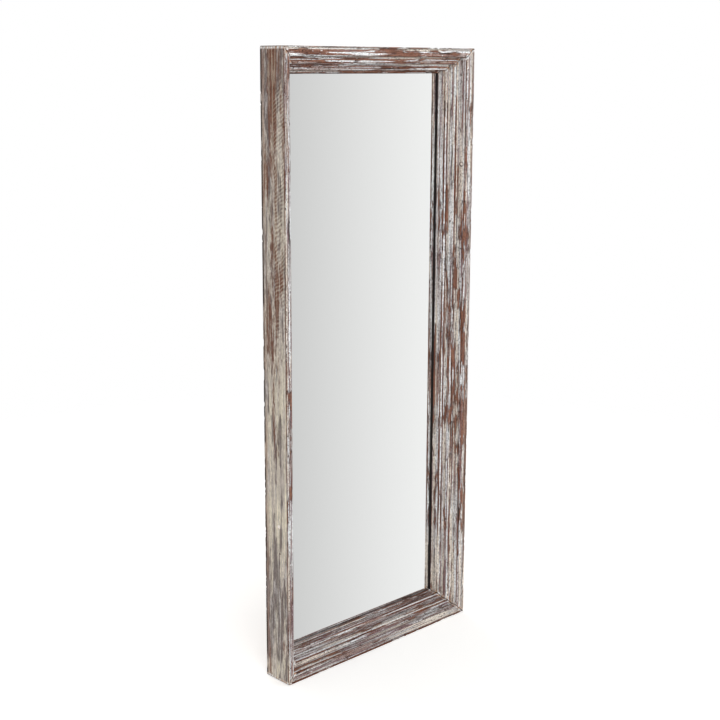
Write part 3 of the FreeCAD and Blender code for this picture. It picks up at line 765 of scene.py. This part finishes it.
# screws: domed head with a cross recess, threaded shank that thins to a point; sizes in mm,
# fullness as a power, tip as a share of the radius
screwLook = {"Head Radius": 3.8, "Head Height": 2.2, "Head Fullness": 0.75, "Recess Reach": 2.2,
             "Recess Width": 1.1, "Recess Depth": 1.3, "Shank Radius": 2.0, "Thread Depth": 0.55,
             "Pitch": 1.9, "Point Length": 6.0, "Tip": 0.12}
screwSpots = {
    "brace": {"length": 25.0, "head": 48.0, "seed": 3,
              "at": [(x, z) for sign in (-1, 1) for x, z in (
                  (sign * 268, 19), (sign * 310, 19), (sign * 268, 1781), (sign * 310, 1781),
                  (sign * 356, 107), (sign * 356, 65), (sign * 356, 1693), (sign * 356, 1735))]},
    "strap": {"length": 28.0, "head": 47.5, "seed": 8,
              "at": [(sign * 351, z) for sign in (-1, 1) for z in (1470, 1456)]},
}


def makeScrewTree():
    inputs = {name: "Float" for name in (*screwLook, "Shank Length")}
    tree, add = newTree("crossRecessScrews", {**inputs, "Seed": "Int", "Finish": "Material"})
    given = add("NodeGroupInput").outputs
    at = add("InputPosition")
    axes = add("SeparateXYZ", at).outputs

    # the head is a ball pressed flat below and filled out above
    ball = add("MeshUVSphere", {"Segments": 32, "Rings": 16, "Radius": 1.0})
    above = add("Math", axes["Z"], 0.0, **larger)
    filled = add("Math", above, given["Head Fullness"], operation="POWER")
    stretched = {}
    for axis, value, size in (("X", axes["X"], "Head Radius"), ("Y", axes["Y"], "Head Radius"),
                              ("Z", filled, "Head Height")):
        stretched[axis] = add("Math", value, given[size], **times)
    domed = add("CombineXYZ", stretched)
    head = add("SetPosition", {"Geometry": ball, "Position": domed})
    span, deep = (add("Math", given[size], 2.0, **times)
                  for size in ("Recess Reach", "Recess Depth"))
    headTop = add("CombineXYZ", {"Z": given["Head Height"]})
    for across, along in ((span, given["Recess Width"]), (given["Recess Width"], span)):
        bladeSize = add("CombineXYZ", {"X": across, "Y": along, "Z": deep})
        blade = add("MeshCube", {"Size": bladeSize})
        sunk = add("Transform", {"Geometry": blade, "Translation": headTop})
        head = add("MeshBoolean", {"Mesh 1": head, "Mesh 2": sunk}, operation="DIFFERENCE", solver="EXACT")

    # the shank's radius follows a helix, its top is a little inside the head and it thins to a point
    shankTop = 0.49
    rod = add("MeshCylinder", {"Vertices": 12, "Side Segments": 90, "Radius": 1.0, "Depth": 1.0})
    fromTop = add("Math", axes["Z"], shankTop, **minus)
    level = add("Math", fromTop, given["Shank Length"], **times)
    bearing = add("Math", axes["Y"], axes["X"], operation="ARCTAN2")
    turns = add("Math", level, given["Pitch"], operation="DIVIDE")
    helix = add("Math", bearing, 0.5 / math.pi, turns, **timesPlus)
    crest = add("Math", helix, 0.5, operation="PINGPONG")
    cut = add("Math", crest, given["Thread Depth"], **times)
    cutTwice = add("Math", cut, -2.0, given["Shank Radius"], **timesPlus)
    toTip = add("Math", level, given["Shank Length"], **plus)
    thinned = add("MapRange", toTip, 0, given["Point Length"], given["Tip"])
    radius = add("Math", cutTwice, thinned, **times)
    ring = {axis: add("Math", axes[axis], radius, **times) for axis in ("X", "Y")}
    threaded = add("CombineXYZ", {**ring, "Z": level})
    shank = add("SetPosition", {"Geometry": rod, "Position": threaded})
    scatter(add, given, add("JoinGeometry", {"Geometry": [head, shank]}))
    return tree


screwTree = makeScrewTree()
for kind, row in screwSpots.items():
    screws = makeSpots(kind + "Screws", [((x, row["head"], z), (0, 1, 0)) for x, z in row["at"]])
    growMesh(screws, screwTree, {
        **screwLook, "Shank Length": row["length"], "Seed": row["seed"],
        "Finish": finish["steelTumbledBright"]})
    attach(screws, "frame")
    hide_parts(kind + "_screws")

# pins: thin wire with a small flat head, driven through the battens; sizes in mm
pinLook = {"Head Radius": 1.3, "Head Top": 1.04, "Head Height": 0.5, "Wire Radius": 0.8, "Length": 28.0,
           "Point Length": 2.2, "Tip Radius": 0.05}
pinSpots = {"y": 42.5, "railX": (-250, 0, 250), "railZ": (81, 1719), "stileX": 294,
            "stileFrom": 125, "stileStep": 258.333, "stileCount": 7, "seed": 5}


def makePinTree():
    inputs = {name: "Float" for name in pinLook}
    tree, add = newTree("panelPins", {**inputs, "Seed": "Int", "Finish": "Material"})
    given = add("NodeGroupInput").outputs
    straight = add("Math", given["Length"], given["Point Length"], **minus)
    parts = []
    for vertices, top, bottom, depth in (
            (16, "Head Top", "Head Radius", given["Head Height"]),
            (12, "Wire Radius", "Wire Radius", straight),
            (12, "Wire Radius", "Tip Radius", given["Point Length"])):
        parts.append(add("MeshCone", {
            "Vertices": vertices, "Radius Top": given[top], "Radius Bottom": given[bottom],
            "Depth": depth}))
    head, wire, point = parts
    joined = [head]
    for piece, drop, overlap in ((wire, straight, 0.1), (point, given["Length"], 0.2)):
        down = add("Math", drop, -1.0, overlap, **timesPlus)
        offset = add("CombineXYZ", {"Z": down})
        joined.append(add("Transform", {"Geometry": piece, "Translation": offset}))
    scatter(add, given, add("JoinGeometry", {"Geometry": joined}))
    return tree


pinPlaces = []
for z, way in zip(pinSpots["railZ"], (1, -1)):
    pinPlaces += [((x, pinSpots["y"], z), (0, 0, way)) for x in pinSpots["railX"]]
for k in range(pinSpots["stileCount"]):
    z = pinSpots["stileFrom"] + k * pinSpots["stileStep"]
    pinPlaces += [((way * -pinSpots["stileX"], pinSpots["y"], z), (way, 0, 0)) for way in (1, -1)]
pins = makeSpots("battenPins", pinPlaces)
growMesh(pins, makePinTree(), {**pinLook, "Seed": pinSpots["seed"], "Finish": finish["steelTumbledBright"]})
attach(pins, "frame")
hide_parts("batten_pins")

# nail marks left in the wood: rusted heads, and holes stopped with putty; sizes in mm
nailLook = {
    "nailHeads": {"Radius": 3.0, "Height": 0.35, "seed": 2, "finish": "ironNailRusted",
                  "at": [((327.9, -13.8, 318.3), (-1, 0, 0)), ((327.9, -7.5, 787.5), (-1, 0, 0)),
                         ((327.9, -8.3, 1281.0), (-1, 0, 0)), ((-141.9, -48.8, 9.7), (0, -1, 0)),
                         ((-374.7, -18.2, 391.1), (-1, 0, 0))]},
    "puttyRims": {"Radius": 7.6, "Height": 0.30, "seed": 9, "finish": "ironNailRusted",
                  "at": [((347.9, -33.0, 1455.3), (-1, 0, 0))]},
    "puttyStops": {"Radius": 5.6, "Height": 0.80, "seed": 6, "finish": "chalkPuttyPressed",
                   "at": [((347.9, -33.0, 1455.3), (-1, 0, 0)), ((-374.7, -15.1, 471.0), (-1, 0, 0))]},
}
nailDents = {"perRadius": 1.6, "beaten": (0.75, 1.25), "tilt": 0.05}


def makeNailTree():
    tree, add = newTree("nailMarks", {
        "Radius": "Float", "Height": "Float", "Seed": "Int", "Finish": "Material"})
    given = add("NodeGroupInput").outputs
    ball = add("MeshUVSphere", {"Segments": 20, "Rings": 10, "Radius": 1.0})
    size = add("CombineXYZ", {"X": given["Radius"], "Y": given["Radius"], "Z": given["Height"]})
    at = add("InputPosition")
    flattened = add("VectorMath", at, size, **times)
    dents = add("TexNoise", {"Vector": at, "Scale": nailDents["perRadius"], "Detail": 1.0})
    beaten = add("MapRange", dents, 0, 1, *nailDents["beaten"])
    shaped = add("VectorMath", flattened, beaten, **times)
    head = add("SetPosition", {"Geometry": ball, "Position": shaped})
    scatter(add, given, head, tilt=nailDents["tilt"])
    return tree


nailTree = makeNailTree()
for name, row in nailLook.items():
    nails = makeSpots(name, row["at"])
    nails.visible_glossy = False
    growMesh(nails, nailTree, {"Radius": row["Radius"], "Height": row["Height"], "Seed": row["seed"],
                               "Finish": finish[row["finish"]]})
    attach(nails, "frame")
print("fasteners set")

# D-rings of wire, bent round a flat side that turns in the strap's eye; sizes in mm
ringLook = {"halfWidth": 11.5, "drop": 21.5, "topBend": 3.5, "wireRadius": 1.5,
            "axisY": 49.55, "axisZ": 1500, "axisX": {"left": -351, "right": 351},
            "bendPoints": 18, "roundPoints": 20, "mergeMm": 0.02}


def makeRingTree():
    tree, add = newTree("bentWireRing", {
        "Wire Radius": "Float", "Bend Points": "Int", "Round Points": "Int", "Finish": "Material"})
    given = add("NodeGroupInput").outputs
    path = add("MeshToCurve", {"Mesh": given["Geometry"]})
    bend = add("InputNamedAttribute", {"Name": "bend"})
    bent = add("FilletCurve", {
        "Curve": path, "Count": given["Bend Points"], "Radius": bend, "Limit Radius": True}, mode="POLY")
    circle = add("CurvePrimitiveCircle", {
        "Resolution": given["Round Points"], "Radius": given["Wire Radius"]}, mode="RADIUS")
    walked = add("SplineParameter").outputs["Length"]
    curves = [add("StoreNamedAttribute", {"Geometry": curve, "Name": name, "Value": walked})
              for curve, name in ((bent, "walked"), (circle, "rounded"))]
    wire = add("CurveToMesh", {"Curve": curves[0], "Profile Curve": curves[1]})
    along, across = (add("InputNamedAttribute", {"Name": name})
                     for name in ("walked", "rounded"))
    grain = add("CombineXYZ", {"X": along, "Y": across})
    lined = add("StoreNamedAttribute", {"Geometry": wire, "Name": "grain", "Value": grain}, **vectors)
    joined = add("MergeByDistance", {"Geometry": lined, "Distance": ringLook["mergeMm"] * mm})
    smooth = add("SetShadeSmooth", {"Geometry": joined, "Shade Smooth": True})
    endTree(add, given, smooth)
    return tree


ringTree = makeRingTree()
half, drop, topBend = (ringLook[key] for key in ("halfWidth", "drop", "topBend"))
ringCorners = [(-half, 0, topBend), (half, 0, topBend), (half, -drop, half), (-half, -drop, half)]
for side, x in ringLook["axisX"].items():
    outline = bpy.data.meshes.new("ring")
    outline.from_pydata([((x + a) * mm, ringLook["axisY"] * mm, (ringLook["axisZ"] + b) * mm)
                         for a, b, bend in ringCorners], [(0, 1), (1, 2), (2, 3), (3, 0)], [])
    bends = [bend * mm for a, b, bend in ringCorners]
    outline.attributes.new("bend", "FLOAT", "POINT").data.foreach_set("value", bends)
    ring = bpy.data.objects.new("hangerRing" + side.title(), outline)
    growMesh(ring, ringTree, {
        "Wire Radius": ringLook["wireRadius"] * mm, "Bend Points": ringLook["bendPoints"],
        "Round Points": ringLook["roundPoints"], "Finish": finish["steelWireDrawnBright"]})
    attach(ring, side + "_ring")
    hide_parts("hanger_ring_" + side)
print("rings bent")

# camera at the photograph's place, in front to the left and a little below the top rail
view = {"place": (-2.5944, -2.6508, 1.7527), "pitch": 11.446, "yaw": 43.871, "roll": 0.214,
        "lens": 64.19, "sensor": 36.0, "shift": (0.0, -0.05)}
pitch, yaw, roll = (math.radians(view[key]) for key in ("pitch", "yaw", "roll"))
ahead = Vector((math.sin(yaw) * math.cos(pitch), math.cos(yaw) * math.cos(pitch), -math.sin(pitch)))
level = Vector((math.cos(yaw), -math.sin(yaw), 0))
upright = level.cross(ahead)
right = level * math.cos(roll) + upright * math.sin(roll)
up = upright * math.cos(roll) - level * math.sin(roll)
cameraData = bpy.data.cameras.new("photoCamera")
cameraData.lens = view["lens"]
cameraData.sensor_width = view["sensor"]
cameraData.shift_x, cameraData.shift_y = view["shift"]
camera = link(bpy.data.objects.new("photoCamera", cameraData))
turn = Matrix((right, up, -ahead)).transposed().to_4x4()
camera.matrix_world = Matrix.Translation(view["place"]) @ turn
bpy.context.scene.camera = camera
print("camera set")

# Studio: white room for the camera, a soft grey to white sweep for the glass, plain light for the rest
studio = {"ambient": 0.55, "sweep": (0.45, 1.0), "sweepDegrees": (33.5, 51.0), "aim": (0, 0, 0.9),
          "lamps": {"key": {"place": (-3.2, -4.2, 3.6), "power": 150, "size": 3.0},
                    "fill": {"place": (3.6, -3.4, 2.4), "power": 60, "size": 3.0},
                    "rear": {"place": (1.0, 4.5, 3.2), "power": 90, "size": 3.0}}}
scene = bpy.context.scene
scene.view_settings.view_transform = "Standard"
world = bpy.data.worlds.new("studioRoom")
scene.world = world
world.use_nodes = True
world.node_tree.nodes.clear()
inRoom = partial(addNode, world.node_tree)
direction = inRoom("SeparateXYZ", inRoom("TexCoord").outputs["Generated"]).outputs
forward = inRoom("Math", direction["Y"], -1.0, **times)
azimuth = inRoom("Math", direction["X"], forward, operation="ARCTAN2")
azimuthSize = inRoom("Math", azimuth, **unsigned)
sweepEnds = [math.radians(angle) for angle in studio["sweepDegrees"]]
sweep = inRoom("MapRange", azimuthSize, *sweepEnds, *studio["sweep"], **eased)
rays = inRoom("LightPath").outputs
glossy = inRoom("Math", rays["Is Glossy Ray"], rays["Is Transmission Ray"], **larger)
dim = inRoom("Mix", {"Factor": glossy, "A": studio["ambient"], "B": sweep})
roomLight = inRoom("Mix", {"Factor": rays["Is Camera Ray"], "A": dim, "B": 1.0})
inRoom("OutputWorld", inRoom("Background", {"Color": (1, 1, 1, 1), "Strength": roomLight}))

for name, row in studio["lamps"].items():
    lampData = bpy.data.lights.new(name + "Softbox", "AREA")
    lampData.energy = row["power"]
    lampData.size = row["size"]
    lamp = link(bpy.data.objects.new(name + "Softbox", lampData))
    place = Vector(row["place"])
    aim = (Vector(studio["aim"]) - place).to_track_quat("-Z", "Y")
    lamp.matrix_world = Matrix.Translation(place) @ aim.to_matrix().to_4x4()
    lamp.visible_glossy = False

# plain paper floor that keeps the shadow, is white to the camera and thins out to the white room
floorLook = {"size": 5.0, "colour": "#f4f3f1", "lift": 0.30, "roughness": 0.9, "thins": (0.9, 3.2)}
floorMesh = bpy.data.meshes.new("paperFloor")
floorCorners = ((-1, -1), (1, -1), (1, 1), (-1, 1))
floorMesh.from_pydata([(x * floorLook["size"], y * floorLook["size"], 0) for x, y in floorCorners], [],
                      [(0, 1, 2, 3)])
floor = link(bpy.data.objects.new("paperFloor", floorMesh))
paper, onPaper = newMaterial("mattPaper")
paperRays = onPaper("LightPath").outputs
lift = onPaper("Math", paperRays["Is Camera Ray"], floorLook["lift"], **times)
sheet = onPaper("BsdfPrincipled", {
    "Base Color": linear(floorLook["colour"]), "Roughness": floorLook["roughness"],
    "Emission Color": (1, 1, 1, 1), "Emission Strength": lift})
spot = onPaper("TexCoord").outputs["Object"]
away = onPaper("VectorMath", spot, operation="LENGTH").outputs["Value"]
thinning = onPaper("MapRange", away, *floorLook["thins"], **eased)
clear = onPaper("BsdfTransparent")
onPaper("OutputMaterial", onPaper("MixShader", thinning, sheet, clear))
floorMesh.materials.append(paper)
floor.visible_glossy = False
print("studio ready")
